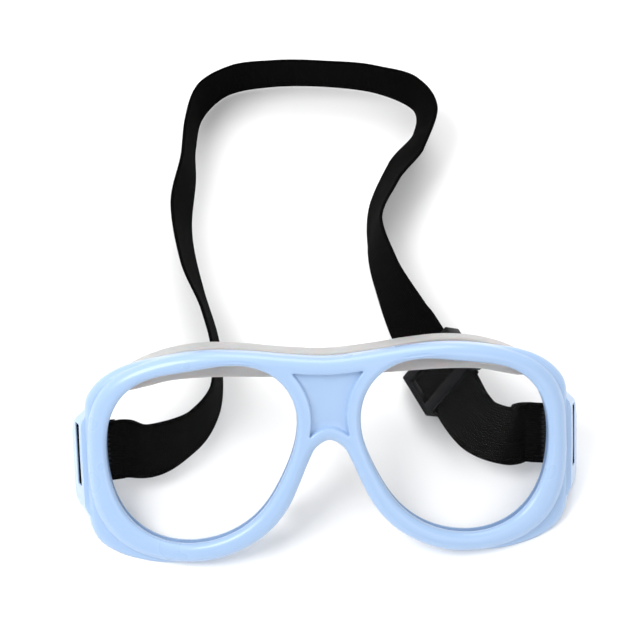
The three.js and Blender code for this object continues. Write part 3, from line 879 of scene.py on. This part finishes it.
def wing_body(side):
    """A strap wing: round edges, ends that sink into the shell, a channel beside the rim, and
    a slit with room for the fold."""
    outline = closed_spline(WING_OUTLINE, 240)
    surface = Rings()
    front_edge = list(reversed(rounding(WING_ROUND, WING_ROUND, 5)))
    back_edge = [(d, -WING_THICKNESS - z) for d, z in
                 rounding(WING_BACK_ROUND, WING_BACK_ROUND, 4)]
    rings = surface.stack(outline, front_edge + back_edge)
    mouth = slit(SLIT_WIDTH, SLIT_HEIGHT, 0.45)
    wide = (SEAT_WIDTH - SLIT_WIDTH) / 2
    walls = [(-0.3, 0), (-0.1, -0.08), (0, -0.3), (-wide, -0.9), (-wide, -SEAT_DEPTH)]
    seat_rings = surface.stack(mouth, walls)
    slot = slit(SLOT_WIDTH, SLOT_HEIGHT, 1.2)
    slot_walls = [(0.15, -SEAT_DEPTH), (0, -SEAT_DEPTH - 0.2), (0, -WING_THICKNESS + 0.25),
                  (-0.25, -WING_THICKNESS)]
    slot_rings = surface.stack(slot, slot_walls)
    surface.fill(rings[0], [seat_rings[0]], 0, 0.8, 0.5)
    surface.fill(seat_rings[-1], [slot_rings[0]], -SEAT_DEPTH, 1.5, 0.6)
    surface.fill(rings[-1], [slot_rings[-1]], -WING_THICKNESS, 1.6, 0.8)
    points = []
    for u, y, w in surface.points:
        if w > -WING_THICKNESS / 2:
            w = w - wing_sink(u, y) + lip(u, y)
        x = WING_ROOT.x + w * math.cos(WING_FLARE) + u * math.sin(WING_FLARE)
        z = WING_ROOT.z + w * math.sin(WING_FLARE) - u * math.cos(WING_FLARE)
        points.append((side * x, y, z))
    return np.array(points), surface.faces


def make_front():
    """The rims, shells and wings, united in one moulding and pressed flat on the table."""
    parts = []
    for made in (front_body(), shell_body(-1), shell_body(1)):
        parts.append(mesh_piece("part", standing(wrapped(made[0])), made[1], None))
    for made in (wing_body(-1), wing_body(1)):
        parts.append(mesh_piece("part", standing(made[0]), made[1], None))
    front = joined("moulded_front", parts, PLASTIC, 38)
    for v in front.data.vertices:
        v.co.z = max(v.co.z, 0.0)
    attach(front, "front")
    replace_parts(front, "frame_front")


make_front()


# ---------------------------------------------------------------- lenses
def make_lens(name, side):
    """A domed lens of even thickness, with the edges of its rim eased."""
    rings, count = 16, 160
    points, faces = [], []
    outline = lens_outline(side, LENS_HOLD, count)
    centre = np.array((side * LENS_CENTRE, 0.0))
    for back in (0, LENS_THICKNESS):
        points.append((*centre, LENS_DOME - LENS_SET_BACK - back))
        for k in range(1, rings + 1):
            t = k / rings
            edge = LENS_EDGE if k == rings else 0
            for p in outline:
                flat = centre + (p - centre) * t
                height = LENS_DOME * (1 - t * t) - LENS_SET_BACK - back
                points.append((*flat, height + (-edge if back == 0 else edge)))
    half = 1 + rings * count

    def at(face, k, i):
        return face * half + 1 + (k - 1) * count + i % count

    for i in range(count):
        faces.append((0, at(0, 1, i), at(0, 1, i + 1)))
        faces.append((half, at(1, 1, i + 1), at(1, 1, i)))
        for k in range(1, rings):
            for face in (0, 1):
                faces.append((at(face, k, i), at(face, k + 1, i), at(face, k + 1, i + 1),
                              at(face, k, i + 1)))
        faces.append((at(0, rings, i), at(1, rings, i), at(1, rings, i + 1),
                      at(0, rings, i + 1)))
    lens = mesh_piece(name, standing(wrapped(points)), faces, "front", 40)
    lens.data.materials.append(LENS)
    return lens


for name, side in (("left", -1), ("right", 1)):
    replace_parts(make_lens(f"{name}_clear_lens", side), f"{name}_lens")

# ---------------------------------------------------------------- pads
BROW = both_halves([
    (0, 27.4), (12, 28.2), (24, 29.5), (34, 29.9), (44, 28.6), (53, 25.6), (58.9, 21.8),
    (60.2, 19), (57.8, 17.2), (52, 18.2), (45, 20), (34, 20.9), (20, 20.8), (8, 20.4),
    (0, 20.3)])
NOSE = both_halves([
    (0, 9.6), (5, 8.6), (8.4, 4.4), (10.4, -2.4), (12.6, -9), (15.2, -14.6), (16.9, -18.4),
    (16.4, -20.4), (14.4, -20.4), (12.9, -18.4), (11, -15), (8.6, -10.2), (6.2, -4.4),
    (3.8, 0.2), (0, 2.2)])
PAD_FRONT = FRONT_DEPTH + GAP


def make_pad(name, corners, depth, round_by, node_name, count):
    """A soft pad: an outline with full round edges, thinning a little towards the face."""
    outline = closed_spline(corners, count)
    surface = Rings()
    front_edge = list(reversed(rounding(0.5, 0.5, 3, -PAD_FRONT)))
    back = -PAD_FRONT - depth
    back_edge = [(d + 0.1, back - z) for d, z in rounding(round_by, round_by, 6)]
    middle = [(0.05, -PAD_FRONT - depth * 0.35)]
    rings = surface.stack(outline, front_edge + middle + back_edge)
    surface.fill(rings[0], [], -PAD_FRONT, 2.0, 0.8)
    surface.fill(rings[-1], [], back, 2.0, 0.8)
    points = standing(wrapped(surface.points))
    pad = mesh_piece(name, points, surface.faces, "front", 60)
    pad.data.materials.append(SILICONE)
    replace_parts(pad, node_name)


make_pad("brow_cushion", BROW, 8.2, 1.5, "brow_pad", 260)
make_pad("nose_cushion", NOSE, 6.2, 0.95, "nose_pad", 200)

# ---------------------------------------------------------------- pins and stitching
for name in ("left_anchor_pin", "right_anchor_pin"):
    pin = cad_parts[name]
    pin.data.materials.clear()
    pin.data.materials.append(STEEL)
    shade(pin, 40)

STITCHES, TACK_WIDTH = 22, 15.2
STITCH_SIZE = (1.1, 0.2, 0.17, 1)
STITCH_HEIGHT = 0.46                   # of its middle above the webbing's own middle
TACKS_AT = (4.6, 6.9)                  # from the pin


def bar_tack(name, lines, body):
    """A row of close slanting stitches across the webbing, sunk half into each broad face."""
    build = bmesh.new()
    for at, run, across, face in lines:
        for side in (-1, 1):
            for k in range(STITCHES):
                w = -TACK_WIDTH / 2 + TACK_WIDTH * k / (STITCHES - 1)
                slant = unit(run * 0.9 + across * (0.35 if k % 2 else -0.35))
                over = unit(np.cross(face, slant))
                turn = Matrix([slant, over, face]).transposed().to_4x4()
                place = Vector(at + across * w + face * side * STITCH_HEIGHT)
                size = Matrix.Diagonal(STITCH_SIZE)
                bmesh.ops.create_icosphere(build, subdivisions=1, radius=1,
                                           matrix=Matrix.Translation(place) @ turn @ size)
    build.transform(Matrix.Scale(MM, 4))
    tack = finished(name, build)
    tack.data.materials.append(THREAD)
    shade(tack, 60)
    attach(tack, body)


for name, side in (("left", -1), ("right", 1)):
    at, out = anchor(side)
    inwards, up = TURN @ -out, TURN @ np.array((0, 1.0, 0))
    face = np.cross(inwards, up)
    rows = [(standing([at])[0] + inwards * reach + face * ply, inwards, up, face)
            for reach in TACKS_AT for ply in (-PLY, PLY)]
    bar_tack(f"{name}_bar_tack", rows, "front")

# ---------------------------------------------------------------- floor and light
FLOOR_SIZE = 6.0


def make_floor():
    build = bmesh.new()
    bmesh.ops.create_grid(build, x_segments=1, y_segments=1, size=FLOOR_SIZE / 2)
    floor = finished("floor", build)
    floor.data.materials.append(new_material("pale_floor", (0.93, 0.93, 0.93), 0.7)[0])


def light(name, place, size, power):
    data = bpy.data.lights.new(name, "AREA")
    data.shape, data.size, data.energy = "DISK", size, power
    lamp = linked(name, data)
    lamp.location = place
    aim = Vector((0, 0.04, 0.02)) - Vector(place)
    lamp.rotation_euler = aim.to_track_quat("-Z", "Y").to_euler()


def make_world():
    world = bpy.data.worlds.new("studio")
    world.use_nodes = True
    world.node_tree.nodes["Background"].inputs["Color"].default_value = (1, 1, 1, 1)
    world.node_tree.nodes["Background"].inputs["Strength"].default_value = 0.8
    bpy.context.scene.world = world


make_floor()
make_world()
light("key", (-0.75, 0.0, 1.1), 0.8, 11)
light("fill", (0.5, -0.9, 0.9), 0.9, 3)
light("back", (0.1, 0.9, 1.0), 0.9, 6)
bpy.context.scene.view_settings.view_transform = "Standard"
